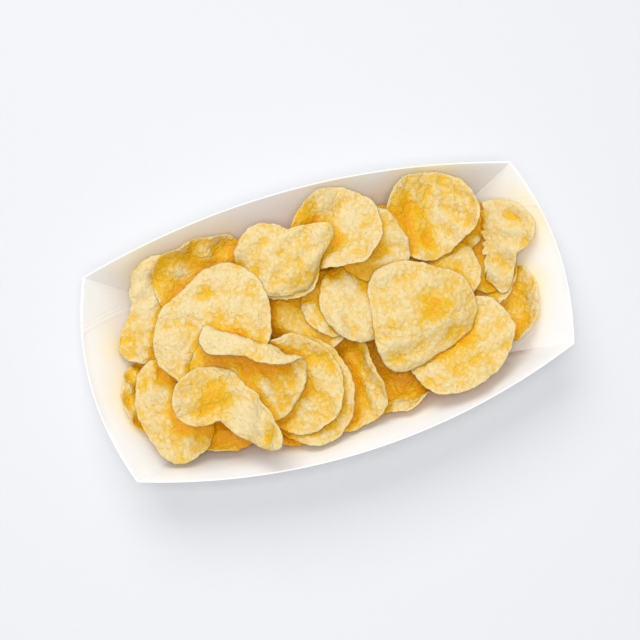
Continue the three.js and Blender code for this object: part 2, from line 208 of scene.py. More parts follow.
# In the order in which they were laid down.
SHOWN = [
    Crisp("left_low", -99, -14, 42, 38, 90, curl_to=180, curl=35, lean=14, lean_to=0, tone=0.7),
    Crisp("front_low", -65, -39, 36, 30, 10, cross=-2, lean=18, lean_to=80, tone=0.8),
    Crisp("front_scrap", -31, -48, 34, 24, 10, cross=-2, lean=18, lean_to=80, tone=0.7),
    Crisp("dark_middle", -2, -14, 46, 40, 20, lean=8, lean_to=100, tone=0.9),
    Crisp("right_end", 96, -19, 42, 36, 70, curl_to=-20, curl=40, back=30, cross=2, lean=15,
          lean_to=170, tone=0.6),
    Crisp("right_inner", 88, 0, 40, 34, 60, lean=12, lean_to=150),
    Crisp("under_broken", 90, 10, 44, 34, 75, curl_to=185, curl=40, back=10, cut=15, cut_to=165,
          lean=4, lean_to=10, tone=0.8, torn=1),
    Crisp("under_top_right", 76, 31, 42, 38, 10, cross=3, lean=7, lean_to=-80, tone=0.6),
    Crisp("right_deep", 64, 6, 44, 38, 0, lean=10, lean_to=80, tone=0.6),
    Crisp("front_bowl", 27, -44, 40, 36, 10, curl_to=-80, curl=45, back=10, lean=10, lean_to=90,
          tone=0.7),
    Crisp("trough", -3, -36, 52, 44, 100, curl_to=10, curl=65, back=30, power=1.3, lean=6,
          lean_to=90, bumps=((55, 0.12, 18), (-45, 0.08, 18)), tone=0.7,
          stains=((4, 11, 9, 0.4),)),
    Crisp("middle_deep", 0, 9, 48, 42, 40, curl_to=40, curl=38, back=38, lean=3, lean_to=-50),
    Crisp("left_deep", -72, 18, 56, 46, 60, curl_to=150, curl=36, back=10, lean=2, lean_to=0),
    Crisp("strip", -10, 6, 50, 50, 35, curl_to=215, curl=-55, power=3, full=0.8, lean=2,
          lean_to=40),
    Crisp("left_curl", -86, 30, 55, 40, 68, curl_to=165, curl=-45, back=-20, power=1.4, lean=8,
          lean_to=-70, bumps=((165, -0.36, 26), (-146, 0.26, 14), (-122, 0.1, 14)), tone=0.3,
          stains=((-4, 14, 6, -0.5), (-3, 1, 6, -0.4), (-17, -14, 7, 0.5), (6, -8, 6, 0.5))),
    Crisp("back_curl", -58, 38, 52, 44, 14, curl_to=100, curl=55, back=5, power=1.4, lean=8,
          lean_to=-80, bumps=((140, 0.15, 18), (38, 0.12, 14)), tone=1,
          stains=((-9, 5, 4, -0.5), (15, 15, 5, -0.4))),
    Crisp("stack_low", -22, -35, 58, 48, 100, curl_to=100, curl=35, back=8, cross=3, lean=5,
          lean_to=200, tone=0.6),
    Crisp("stack_top", -25, -31, 54, 44, 100, curl_to=100, curl=35, back=8, cross=3, lean=5,
          lean_to=200, tone=0.6),
    Crisp("middle_small", 4, 5, 38, 33, 90, lean=8, lean_to=60),
    Crisp("middle_pale", 18, 3, 46, 42, 70, cross=-2, lean=6, lean_to=60, tone=0.3),
    Crisp("top_right", 69, 36, 54, 46, -30, curl_to=-30, curl=45, back=35, cross=3, lean=6,
          lean_to=-90, bumps=((-129, 0.12, 16), (-60, -0.16, 20), (62, 0.06, 16)), tone=0.6,
          stains=((-14, 3, 10, 0.9), (-7, -12, 7, 0.6), (4, -1, 5, -0.4), (3, -13, 5, -0.4))),
    Crisp("pale_oval", 32, 29, 44, 38, -60, cross=-2, lean=6, lean_to=-60, tone=0.4),
    Crisp("top_middle", 17, 40.5, 50, 46, -28, curl_to=-60, curl=40, back=45, cross=2, lean=3,
          lean_to=90, tone=0.4,
          stains=((-15, 11, 8, 0.7), (8, 5, 6, -0.2))),
    Crisp("lobe", -15, 27, 36, 32, 0, lean=4, lean_to=0),
    Crisp("folded_wing", -16, 34, 46, 42, -5, curl_to=-62, curl=-75, power=3, lean=2, lean_to=200,
          bumps=((12, 0.4, 12), (58, -0.3, 22)),
          stains=((8, -11, 7, 0.25),)),
    Crisp("right_middle", 61, -36, 59, 46, 20, cross=2, lean=8, lean_to=110,
          bumps=((45, 0.06, 15),),
          stains=((-2, 2, 12, 0.5),)),
    Crisp("left_front", -90, -23, 56, 38, 98, curl_to=8, curl=-30, back=-10, cross=-2, lean=3,
          lean_to=0, bumps=((-115, 0.15, 20),),
          stains=((0, -10, 7, 0.35), (-6, 5, 5, -0.3))),
    Crisp("under_left", -60, 2, 44, 36, 50, curl_to=50, curl=30, back=25, cross=3, lean=3,
          lean_to=20),
    Crisp("big_left", -59, 9, 68, 58, 48, cross=-3, lean=4, lean_to=200, press=3,
          bumps=((108, -0.17, 18),), tone=0.4,
          stains=((12, -8, 8, 0.3), (3, 18, 4, 0.3))),
    Crisp("rolled_lip", -48, -17, 60, 58, -35, curl_to=55, curl=165, back=12, power=3, full=0.65,
          lean=4, lean_to=-100, bumps=((97, 0.3, 16), (64, -0.16, 14), (125, -0.12, 15)),
          stains=((2, 0, 9, 0.7), (16, -14, 8, 0.35))),
    Crisp("arch", -65, -31, 50, 36, 150, curl_to=-17, curl=50, back=28, lean=8, lean_to=-60,
          bumps=((-50, 0.75, 13), (-118, -0.5, 24), (15, -0.26, 24), (170, 0.12, 20)),
          stains=((-2, 6, 6, 0.9), (-8, 2, 6, 0.4), (10, -11, 8, -0.7))),
    Crisp("broken", 100, 13.5, 44, 40, 60, curl_to=-18, curl=12, back=20, cut=9, cut_to=165,
          lean=15, lean_to=200, bumps=((-103, 0.4, 10), (-55, -0.4, 26)), tone=0.4, torn=1),
    Crisp("dome", 48, -10.5, 54, 52, -12, curl_to=-62, curl=-30, back=-6, cross=-3, lean=3,
          lean_to=-60, bumps=((-128, 0.4, 22), (-25, 0.12, 22), (60, -0.15, 28), (135, 0.14, 14)),
          stains=((5, -2, 6, 0.6), (0, -7, 5, 0.3), (12, -4, 7, 0.3), (-19, -6, 3, 0.5),
                  (-12, 10, 5, -0.2))),
]

# ---- The walls of the tray --------------------------------------------------------------


def mix(low, high, share):
    return low + (high - low) * share


def bulge(along):
    return np.maximum(0, 1 - along * along)


def corner_x(level):
    return mix(BASE_LENGTH / 2, CORNER_X, level)


def corner_y(level, is_right):
    return mix(BASE_WIDTH / 2, np.where(is_right, RIGHT_CORNER_Y, LEFT_CORNER_Y), level)


def side_wall_y(level, along, is_back):
    """How far out a side wall is, at a level from 0 to 1 and a place along it from -1 to 1."""
    corner = mix(LEFT_CORNER_Y, RIGHT_CORNER_Y, (along + 1) / 2)
    bow = np.where(is_back, BACK_BOW, FRONT_BOW)
    return mix(BASE_WIDTH / 2, corner + bow * bulge(along), level)


def end_wall_x(level, along, is_right):
    bow = np.where(is_right, RIGHT_BOW, LEFT_BOW)
    return mix(BASE_LENGTH / 2, CORNER_X + bow * bulge(along), level)


def clear_of_tray(x, y):
    """Lowest height that clears the tray, whose walls are taken to go on upwards."""
    def is_clear(level):
        along_side = np.clip(x / corner_x(level), -1, 1)
        along_end = np.clip(y / corner_y(level, x > 0), -1, 1)
        in_sides = np.abs(y) < side_wall_y(level, along_side, y > 0) - WALL_CLEARANCE
        return in_sides & (np.abs(x) < end_wall_x(level, along_end, x > 0) - WALL_CLEARANCE - BOARD)

    floor = 2 * BOARD
    low = np.zeros_like(x)
    high = np.full_like(x, HIGHEST_LEVEL)
    for _ in range(HALVINGS):
        middle = (low + high) / 2
        clear = is_clear(middle)
        high = np.where(clear, middle, high)
        low = np.where(clear, low, middle)
    return np.where(is_clear(floor / CORNER_HEIGHT), floor, high * (CORNER_HEIGHT + SIDE_RISE))


def core_share(x, y):
    """How far out a point is on the mound's plan, up to 1 at its edge."""
    along = np.abs(x / CORE_HALF_LENGTH) ** CORE_SQUARENESS
    across = np.abs(y / CORE_HALF_WIDTH) ** CORE_SQUARENESS
    return (along + across) ** (1 / CORE_SQUARENESS)


def core_height(share):
    return CORE_EDGE_HEIGHT + (CORE_TOP_HEIGHT - CORE_EDGE_HEIGHT) * (1 - share * share)


# ---- The form of one crisp --------------------------------------------------------------


def waves(rows, angle, number):
    """Waves round an edge, shifted so that no two crisps share them."""
    return sum(size * np.cos(count * angle + shift * number) for count, size, shift in rows)


def triangle_wave(turns):
    return 4 * np.abs(turns - np.round(turns)) - 1


def bump_at(bumps, bearing):
    """The lobes less the notches at a bearing, as a share of the reach."""
    total = 0
    for towards, size, spread in bumps:
        turn = bearing - towards * DEGREE
        total = total + size * np.exp((np.cos(turn) - 1) / (spread * DEGREE) ** 2)
    return total


def bent(along, reach, slope, power, full):
    """How far a bent strip reaches, level and upwards, and its tilt there."""
    level = 0
    up = 0
    for step in range(BEND_STEPS):
        share = np.abs(along) * (step + 0.5) / BEND_STEPS / reach
        angle = slope * np.minimum(share / full, 1) ** power
        level = level + np.cos(angle) * along / BEND_STEPS
        up = up + np.sin(angle) * np.abs(along) / BEND_STEPS
    end = slope * np.minimum(np.abs(along) / reach / full, 1) ** power
    return level, up, np.sign(along) * end


def outline(crisp, angle):
    """Distance of the edge from the middle, at a bearing from the long measure."""
    along = np.abs(2 * np.cos(angle) / crisp.long) ** CRISP_SQUARENESS
    across = np.abs(2 * np.sin(angle) / crisp.wide) ** CRISP_SQUARENESS
    bearing = angle + crisp.turn * DEGREE
    uneven = 1 + bump_at(crisp.bumps, bearing) + waves(OUTLINE_WAVES, angle, crisp.number)
    whole = uneven * (along + across) ** (-1 / CRISP_SQUARENESS)
    if crisp.cut:
        towards = np.maximum(np.cos(bearing - crisp.cut_to * DEGREE), CUT_FACING)
        aside = crisp.cut * np.tan(bearing - crisp.cut_to * DEGREE)
        teeth = crisp.torn * sum(depth * triangle_wave(aside / length + shift)
                                 for length, depth, shift in TEETH)
        cut_at = (crisp.cut + teeth) / towards
        whole = np.where(towards > CUT_FACING, np.minimum(whole, cut_at), whole)
    return whole


def crisp_points(crisp, share, angle, off, edge=None):
    """Points of the crisp at a share of the way out to its edge, off its middle face."""
    reach = share * (outline(crisp, angle) if edge is None else edge)
    turned = (crisp.turn - crisp.curl_to) * DEGREE
    along = reach * np.cos(angle + turned)
    across = reach * np.sin(angle + turned)
    half_along = math.hypot(crisp.long * math.cos(turned), crisp.wide * math.sin(turned)) / 2
    half_across = math.hypot(crisp.long * math.sin(turned), crisp.wide * math.cos(turned)) / 2
    slope = np.where(along > 0, crisp.curl, crisp.back) * DEGREE
    level, up, tilt = bent(along, half_along, slope, crisp.power, crisp.full)
    rise = (off + crisp.cross * (across / half_across) ** 2
            + waves(EDGE_WAVES, angle, crisp.number) * share ** EDGE_FADE)
    ahead = level - rise * np.sin(tilt)
    z = up + rise * np.cos(tilt)
    x, y = turned_level(ahead, across, crisp.curl_to)
    downhill, aside = turned_level(x, y, -crisp.lean_to)
    lean = crisp.lean * DEGREE
    tipped = downhill * math.cos(lean) + z * math.sin(lean)
    z = z * math.cos(lean) - downhill * math.sin(lean)
    x, y = turned_level(tipped, aside, crisp.lean_to)
    return x + crisp.x, y + crisp.y, z + crisp.lift


def turned_level(x, y, degrees):
    cosine = math.cos(degrees * DEGREE)
    sine = math.sin(degrees * DEGREE)
    return x * cosine - y * sine, x * sine + y * cosine


# ---- How the crisps lie in the heap -----------------------------------------------------


class LevelGrid:
    """Heights over the tray, by square cells."""

    def __init__(self, cell, start):
        self.cell = cell
        self.count = int(2 * GRID_REACH / cell)
        self.heights = np.full((self.count, self.count), float(start))

    def cells(self, x, y):
        middle = self.count // 2
        column = np.floor(x / self.cell + 0.5).astype(int) + middle
        row = np.floor(y / self.cell + 0.5).astype(int) + middle
        return column, row

    def smooth_at(self, levels, x, y):
        """The level at each point, blended from the four cells around it."""
        column = x / self.cell + self.count // 2
        row = y / self.cell + self.count // 2
        left = np.floor(column).astype(int)
        low = np.floor(row).astype(int)
        share = column - left
        front = mix(levels[left, low], levels[left + 1, low], share)
        back = mix(levels[left, low + 1], levels[left + 1, low + 1], share)
        return mix(front, back, row - low)


def settle(crisps):
    """Lowers each crisp until it rests on the tray or is pressed a little into the heap."""
    grid = LevelGrid(HEAP_CELL, 0)
    across = (np.arange(grid.count) - grid.count // 2) * grid.cell
    x, y = np.meshgrid(across, across, indexing="ij")
    share = core_share(x, y)
    grid.heights = np.where(share < 1, core_height(share), 0.0)
    shares, angles = np.meshgrid(np.sqrt(np.linspace(0, 1, SAMPLE_RINGS + 1)),
                                 np.linspace(0, 2 * math.pi, SAMPLE_STEPS + 1)[1:], indexing="ij")
    half = CRISP_THICKNESS / 2
    for crisp in crisps:
        x, y, z = [values.ravel() for values in crisp_points(crisp, shares, angles, 0)]
        cells = grid.cells(x, y)
        on_heap = grid.heights[cells] - FUSE_DEPTH - crisp.press - z + half
        on_tray = clear_of_tray(x, y) - z + half
        crisp.lift = float(max(on_heap.max(), on_tray.max()))
        np.maximum.at(grid.heights, cells, z + crisp.lift + half)


def tucked_under(grid, x, y, z):
    """How far each point sinks to pass below the crisps above, spread smoothly around."""
    need = np.maximum(0, z + CRISP_THICKNESS / 2 + TUCK_GAP - grid.heights[grid.cells(x, y)])
    sunk = need
    for _ in range(TUCK_ROUNDS):
        wide = np.pad(sunk, 1, mode="edge")
        around = (wide[2:, 1:-1] + wide[:-2, 1:-1] + wide[1:-1, 2:] + wide[1:-1, :-2]) / 4
        sunk = np.maximum(need, TUCK_FADE * around)
    return sunk


# ---- The surface of a crisp -------------------------------------------------------------


def cell_pattern(x, y, size, draw):
    """Distances to the nearest two of a scatter of points, and the nearest one's own draw."""
    table = draw.random((SCATTER, SCATTER, 3))
    column = np.floor(x / size).astype(int)
    row = np.floor(y / size).astype(int)
    nearest = np.full(x.shape, math.inf)
    second = np.full(x.shape, math.inf)
    own = np.zeros(x.shape)
    for across in (-1, 0, 1):
        for up in (-1, 0, 1):
            spot = table[(column + across) % SCATTER, (row + up) % SCATTER]
            gap_x = column + across + spot[..., 0] - x / size
            gap_y = row + up + spot[..., 1] - y / size
            distance = np.hypot(gap_x, gap_y)
            is_nearer = distance < nearest
            second = np.where(is_nearer, nearest, np.minimum(second, distance))
            own = np.where(is_nearer, spot[..., 2], own)
            nearest = np.where(is_nearer, distance, nearest)
    return nearest, second, own


def smooth_step(low, high, value):
    share = np.clip((value - low) / (high - low), 0, 1)
    return share * share * (3 - 2 * share)


def blisters(x, y, draw):
    """Height of the blisters that frying raises, and how pale they are, from 0 to 1."""
    height = 0
    pale = 0
    for size, rise, weight in BLISTERS:
        nearest, second, own = cell_pattern(x, y, size, draw)
        dome = np.maximum(0, 1 - (nearest / 0.75) ** 2) * smooth_step(0, 0.25, second - nearest)
        height = height + rise * dome * own
        pale = pale + weight * smooth_step(0.1, 0.7, dome) * (0.35 + 0.65 * own)
    size, rise, weight = BIG_BLISTERS
    nearest, second, own = cell_pattern(x, y, size, draw)
    big = np.maximum(0, 1 - (nearest / 0.45) ** 2) * (own > BIG_BLISTER_SHARE)
    return height + rise * big, np.clip(pale + weight * big, 0, 1)


def stain_at(crisp, x, y):
    """How much deeper gold the crisp's spots of painted shade make it there, and how much paler its
    spots of painted highlight.
    """
    total = 0 * x
    for stain_x, stain_y, radius, strength in crisp.stains:
        total = total + strength * np.exp(-((x - stain_x) ** 2 + (y - stain_y) ** 2) / radius ** 2)
    return total


def sheet_waves(x, y, draw):
    """Slow waves of the whole sheet."""
    total = 0
    for _ in range(SHEET_WAVES):
        bearing = draw.uniform(0, math.pi)
        length = draw.uniform(*SHEET_WAVE_LENGTHS)
        phase = draw.uniform(0, 2 * math.pi)
        total = total + np.sin(2 * math.pi * (x * math.cos(bearing) + y * math.sin(bearing))
                               / length + phase)
    return WAVE_HEIGHT * total / 2


def disc_grid(count):
    """A square grid bent into a disc: the share of the way out, and the angle.

    The points lie closer together near the edge.
    """
    steps = np.linspace(-1, 1, count + 1)
    a, b = np.meshgrid(steps, steps, indexing="ij")
    ring = np.maximum(np.abs(a), np.abs(b))
    wide = np.abs(a) >= np.abs(b)
    safe = np.where(ring == 0, 1, np.where(wide, a, b))
    angle = np.where(wide, math.pi / 4 * b / safe, math.pi / 2 - math.pi / 4 * a / safe)
    angle = np.where(safe < 0, angle + math.pi, angle)
    return np.sin(ring * math.pi / 2) ** 0.5 * ring ** 0.5, angle


def crisp_mesh(crisp, grid, spacing):
    """Vertices, faces and surface values of one crisp, tucked under those laid on it."""
    draw = np.random.default_rng(SURFACE_SEED + crisp.number)
    count = 2 * round(max(crisp.long, crisp.wide) / spacing / 2)
    share, angle = disc_grid(count)
    edge = outline(crisp, angle) + waves(NICKS, angle, crisp.number) * share ** NICK_FADE
    flat_x = share * edge * np.cos(angle)
    flat_y = share * edge * np.sin(angle)
    slow = sheet_waves(flat_x, flat_y, draw)
    dip = -CREST_PALE * slow / WAVE_HEIGHT
    upper, upper_pale = blisters(flat_x, flat_y, draw)
    lower, lower_pale = blisters(flat_x, flat_y, draw)
    half = CRISP_HALF * np.sqrt(1 - np.minimum(share, 1) ** RIM_ROUNDNESS)
    inside = 1 - share ** RELIEF_FADE
    middle = crisp_points(crisp, share, angle, slow, edge)
    sunk = tucked_under(grid, *middle)
    # Spots of painted shade and painted highlight, placed on each crisp.
    stain = stain_at(crisp, middle[0] - crisp.x, middle[1] - crisp.y)
    floor = clear_of_tray(middle[0], middle[1]) + CRISP_THICKNESS / 2
    sunk = np.minimum(sunk, np.maximum(0, middle[2] - floor))
    faces = []
    for sign, relief in ((1, upper), (-1, lower)):
        off = slow + sign * (half + relief * inside)
        x, y, z = crisp_points(crisp, share, angle, off, edge)
        faces.append(np.stack([x, y, z - sunk], axis=-1))
    cells = grid.cells(middle[0], middle[1])
    np.minimum.at(grid.heights, cells, middle[2] - sunk - CRISP_THICKNESS / 2)
    vertices, quads = shell(*faces)
    # Where the rims' painted highlight lies.
    rim = smooth_step(RIM_FROM, 1, share)
    values = {
        "blister": shell_values(upper_pale, lower_pale),
        "rim": shell_values(rim, rim),
        "tone": np.full(len(vertices), crisp.tone),
        # Painted shade: the spots of painted shade and highlight, the paler crests of the slow
        # waves and a paler underside; the heap's painted shade in the gaps is added later.
        "hollow": shell_values(stain + dip, stain - dip - UNDERSIDE_PALE),
    }
    # Far enough apart in the pattern's space that no two faces look alike.
    above = np.full_like(share, 100.0 * crisp.number)
    place = np.stack([shell_values(flat_x, flat_x), shell_values(flat_y, flat_y),
                      shell_values(above, above + 50)], axis=-1)
    return vertices, quads, values, place


def shell_values(upper, lower):
    """One row of numbers for a shell's points, from those of its two faces."""
    return np.concatenate([upper.ravel(), lower[1:-1, 1:-1].ravel()])


def shell(upper, lower):
    """Joins two grids of points at their shared rim into one closed sheet."""
    rows, columns = upper.shape[:2]
    numbers = np.arange(rows * columns).reshape(rows, columns)
    under = numbers.copy()
    inner = (rows - 2) * (columns - 2)
    under[1:-1, 1:-1] = rows * columns + np.arange(inner).reshape(rows - 2, columns - 2)
    vertices = np.concatenate([upper.reshape(-1, 3), lower[1:-1, 1:-1].reshape(-1, 3)])
    quads = np.concatenate([grid_quads(numbers), grid_quads(under)[:, ::-1]])
    return vertices, quads


def grid_quads(numbers):
    """The faces between the neighbours in a grid of point numbers."""
    corners = (numbers[:-1, :-1], numbers[1:, :-1], numbers[1:, 1:], numbers[:-1, 1:])
    return np.stack([corner.ravel() for corner in corners], axis=-1)


# ---- Meshes and pieces ------------------------------------------------------------------


def make_piece(name, vertices, faces, material, values=None, place=None):
    """A smooth mesh object, from millimetres, that rides on the part's one body."""
    mesh = bpy.data.meshes.new(name)
    mesh.from_pydata((vertices * MM).tolist(), [], [list(face) for face in faces])
    for key, numbers in (values or {}).items():
        layer = mesh.attributes.new(key, "FLOAT", "POINT")
        layer.data.foreach_set("value", numbers.astype(np.float32))
    if place is not None:
        layer = mesh.attributes.new("place", "FLOAT_VECTOR", "POINT")
        layer.data.foreach_set("vector", place.astype(np.float32).ravel())
    mesh.shade_smooth()
    mesh.materials.append(material)
    piece = bpy.data.objects.new(name, mesh)
    bpy.context.scene.collection.objects.link(piece)
    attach(piece, "root")
    return piece


def joined(parts):
    """One mesh's worth of vertices, faces and surface values from many crisps."""
    vertices = []
    faces = []
    start = 0
    for part_vertices, part_faces, _, _ in parts:
        vertices.append(part_vertices)
        faces.append(part_faces + start)
        start += len(part_vertices)
    values = {key: np.concatenate([part[2][key] for part in parts]) for key in parts[0][2]}
    place = np.concatenate([part[3] for part in parts])
    return np.concatenate(vertices), np.concatenate(faces), values, place


# ---- Materials --------------------------------------------------------------------------

def add_node(tree, kind, **inputs):
    node = tree.nodes.new(kind)
    for key, value in inputs.items():
        plug(tree, node.inputs[key.replace("_", " ")], value)
    return node


def plug(tree, socket, value):
    if isinstance(value, bpy.types.NodeSocket):
        tree.links.new(value, socket)
    else:
        socket.default_value = value


def calculate(tree, operation, first, second=0.0, third=0.0):
    node = tree.nodes.new("ShaderNodeMath")
    node.operation = operation
    for socket, value in zip(node.inputs, (first, second, third)):
        plug(tree, socket, value)
    return node.outputs["Value"]


def weighted(tree, start, *terms):
    """The start plus each value times its weight."""
    total = start
    for value, weight in terms:
        total = calculate(tree, "MULTIPLY_ADD", value, weight, total)
    return total


def blend(tree, share, first, second):
    node = tree.nodes.new("ShaderNodeMix")
    node.data_type = "RGBA"
    plug(tree, node.inputs["Factor"], share)
    plug(tree, node.inputs[6], first)
    plug(tree, node.inputs[7], second)
    return node.outputs[2]


def remap(tree, value, low, high, to_low=0.0, to_high=1.0):
    node = add_node(tree, "ShaderNodeMapRange", Value=value, From_Min=low, From_Max=high,
                    To_Min=to_low, To_Max=to_high)
    node.interpolation_type = "SMOOTHSTEP"
    return node.outputs["Result"]


def noise(tree, vector, scale, detail=2.0, roughness=0.5):
    node = add_node(tree, "ShaderNodeTexNoise", Vector=vector, Scale=scale, Detail=detail,
                    Roughness=roughness)
    return node.outputs["Fac"]


def attribute(tree, name, output="Fac"):
    node = tree.nodes.new("ShaderNodeAttribute")
    node.attribute_name = name
    return node.outputs[output]


def new_material(name):
    material = bpy.data.materials.new(name)
    material.use_nodes = True
    return material, material.node_tree, material.node_tree.nodes["Principled BSDF"]


def new_group(name, inputs, outputs):
    group = bpy.data.node_groups.new(name, "ShaderNodeTree")
    for socket, kind in inputs:
        group.interface.new_socket(socket, in_out="INPUT", socket_type=kind)
    for socket, kind in outputs:
        group.interface.new_socket(socket, in_out="OUTPUT", socket_type=kind)
    given = group.nodes.new("NodeGroupInput").outputs
    result = group.nodes.new("NodeGroupOutput").inputs
    return group, given, result


def fried_group():
    """Cream blisters between gold creases, with brown specks; painted shade deepens the gold
    towards amber in the gaps.
    """
    colour, value, vector = "NodeSocketColor", "NodeSocketFloat", "NodeSocketVector"
    group, given, result = new_group(
        "fried surface",
        [("Place", vector), ("Blister", value), ("Rim", value), ("Hollow", value), ("Tone", value)],
        [("Color", colour), ("Height", value), ("Roughness", value)],
    )
    place = given["Place"]
    drift = add_node(group, "ShaderNodeTexNoise", Vector=place, Scale=0.3, Detail=2.0)
    drifted = group.nodes.new("ShaderNodeVectorMath")
    drifted.operation = "MULTIPLY_ADD"
    plug(group, drifted.inputs[0], drift.outputs["Color"])
    plug(group, drifted.inputs[1], (3.5, 3.5, 3.5))
    plug(group, drifted.inputs[2], place)
    creases = between_puffs(group, drifted.outputs["Vector"], 0.34)
    threads = between_puffs(group, drifted.outputs["Vector"], 0.75)
    grain = noise(group, place, 1.3, 3.0, 0.65)
    patches = noise(group, place, 0.08, 2.0)
    # Painted shade deepens the colour towards gold and amber in the gaps.
    fry = weighted(
        group, RAW, (given["Tone"], 0.75), (remap(group, patches, 0.36, 0.64), 0.2),
        (creases, 0.36), (threads, 0.2), (remap(group, grain, 0.3, 0.7), 0.2),
        # The paler rims are a painted highlight.
        (given["Blister"], -0.24), (given["Rim"], -0.3), (given["Hollow"], 1.1),
    )
    base = blend(group, remap(group, fry, 0.0, 1.0), CREAM, GOLD)
    # Amber is reached mostly where the painted shade in the gaps is deep.
    base = blend(group, remap(group, fry, 0.95, 1.6), base, AMBER)
    specks = add_node(group, "ShaderNodeTexVoronoi", Vector=place, Scale=0.3)
    is_speck = calculate(group, "LESS_THAN", specks.outputs["Distance"], 0.09)
    is_chosen = calculate(group, "GREATER_THAN", specks.outputs["Color"], 0.8)
    speck = calculate(group, "MULTIPLY", is_speck, is_chosen)
    base = blend(group, calculate(group, "MULTIPLY", speck, 0.7), base, SPECK)
    group.links.new(base, result["Color"])
    height = weighted(group, 0.0, (grain, 0.5), (creases, -1.0), (threads, -0.4))
    group.links.new(height, result["Height"])
    group.links.new(remap(group, grain, 0.3, 0.7, 0.36, 0.5), result["Roughness"])
    return group


def between_puffs(tree, place, scale):
    """0 in the middle of each small puff, rising to 1 between them."""
    puffs = add_node(tree, "ShaderNodeTexVoronoi", Vector=place, Scale=scale)
    return remap(tree, puffs.outputs["Distance"], 0.25, 0.75)


def fried_material(surface):
    material, tree, shader = new_material("fried_potato")
    fried = tree.nodes.new("ShaderNodeGroup")
    fried.node_tree = surface
    tree.links.new(attribute(tree, "place", "Vector"), fried.inputs["Place"])
    for name in ("Blister", "Rim", "Hollow", "Tone"):
        tree.links.new(attribute(tree, name.lower()), fried.inputs[name])
    tree.links.new(fried.outputs["Color"], shader.inputs["Base Color"])
    tree.links.new(fried.outputs["Roughness"], shader.inputs["Roughness"])
    bump = add_node(tree, "ShaderNodeBump", Height=fried.outputs["Height"], Strength=1.0,
                    Distance=0.3 * MM)
    tree.links.new(bump.outputs["Normal"], shader.inputs["Normal"])
    shader.inputs["Specular IOR Level"].default_value = 0.28
    shader.inputs["Subsurface Weight"].default_value = 0.5
    shader.inputs["Subsurface Radius"].default_value = (1.0, 0.9, 0.5)
    shader.inputs["Subsurface Scale"].default_value = 1.5 * MM
    return material


def paper_material():
    material, tree, shader = new_material("white_paperboard")
    where = tree.nodes.new("ShaderNodeTexCoord").outputs["Object"]
    fibres = noise(tree, where, 900, 4.0, 0.6)
    cloud = noise(tree, where, 30, 2.0)
    colour = blend(tree, remap(tree, cloud, 0.3, 0.7), *DRY_PAPER)
    # Painted warm bounce light from the crisps, on the paper near them.
    colour = blend(tree, attribute(tree, "warmth"), colour, OILED_PAPER)
    tree.links.new(colour, shader.inputs["Base Color"])
    tree.links.new(remap(tree, fibres, 0.3, 0.7, 0.5, 0.62), shader.inputs["Roughness"])
    bump = add_node(tree, "ShaderNodeBump", Height=fibres, Strength=0.15, Distance=0.1 * MM)
    tree.links.new(bump.outputs["Normal"], shader.inputs["Normal"])
    return material


def floor_material():
    material, _, shader = new_material("studio_floor")
    shader.inputs["Base Color"].default_value = FLOOR
    shader.inputs["Roughness"].default_value = 0.9
    return material


# ---- The tray ---------------------------------------------------------------------------


def tray_ring(level, inset):
    """One ring round the tray, anticlockwise from the front left corner."""
    rows = []
    for is_back in (False, True):
        sign = 1 if is_back else -1
        along = np.linspace(sign, -sign, SIDE_STEPS + 1)[:-1]
        x = along * (corner_x(level) - inset)
        y = sign * (side_wall_y(level, along, is_back) - inset)
        z = level * (CORNER_HEIGHT + SIDE_RISE * bulge(along))
        side = np.stack([x, y, z], axis=-1)
        is_right = not is_back
        sign = 1 if is_right else -1
        along = np.linspace(-sign, sign, END_STEPS + 1)[:-1]
        x = sign * (end_wall_x(level, along, is_right) - inset)
        y = along * (corner_y(level, is_right) - inset)
        z = level * (CORNER_HEIGHT + END_RISE * bulge(along))
        rows += [side, np.stack([x, y, z], axis=-1)]
    return np.concatenate(rows)


def ring_faces(count, rings):
    """Quads between rings of `count` points, and a cap on the first and the last ring."""
    here = np.arange(count)
    onward = (here + 1) % count
    rows = []
    for ring in range(rings - 1):
        low = ring * count
        high = low + count
        rows.append(np.stack([low + here, low + onward, high + onward, high + here], axis=-1))
    last = count * (rings - 1)
    return np.concatenate(rows).tolist() + [here[::-1].tolist(), (last + here).tolist()]


def warmth_at(vertices, crisps):
    """Painted warm bounce light on the paper: how near it is to a crisp, 1 where they touch, then
    fading, later at the back.
    """
    gaps = [crisps.find(vertex)[2] for vertex in vertices.tolist()]
    reach = mix(*WARMTH_REACH, smooth_step(*WARMTH_SPAN, vertices[:, 1]))
    return np.exp(-np.array(gaps) / reach)


def make_tray(paper, crisps):
    """The folded board: up the outside, over the rim and down the inside to the base."""
    floor_level = BOARD / CORNER_HEIGHT
    rings = [tray_ring(0, 0) * (share, share, 1) for share in FLOOR_SHARES]
    rings += [tray_ring(level, 0) for level in np.linspace(0, 1, WALL_STEPS + 1)[:-1]]
    for turn in np.linspace(0, math.pi, LIP_STEPS + 1):
        in_by = WALL_INSET * (1 - math.cos(turn)) / 2
        rings.append(tray_ring(1, in_by) - (0, 0, LIP_ROUND * (1 - math.sin(turn))))
    downwards = np.linspace(1, floor_level, WALL_STEPS + 1)[1:-1]
    rings += [tray_ring(level, WALL_INSET) for level in downwards]
    floor = tray_ring(floor_level, WALL_INSET)
    floor[:, 2] = BOARD
    rings += [floor * (share, share, 1) for share in (1, *FLOOR_SHARES[::-1])]
    count = len(floor)
    vertices = np.concatenate(rings)
    warmth = warmth_at(vertices, crisps)
    warmth[:count * (len(FLOOR_SHARES) + WALL_STEPS)] = 0  # the outside
    tray = make_piece("folded_tray", vertices, ring_faces(count, len(rings)), paper,
                      {"warmth": warmth})
    tray.data.set_sharp_from_angle(angle=20 * DEGREE)
    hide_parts("tray")


def emboss(away):
    """Two shallow pressed lines, at a distance from a fold."""
    lines = [np.exp(-((away - line) / PRESSED_WIDTH) ** 2) for line in PRESSED_LINES]
    return PRESSED_DEPTH * sum(lines)


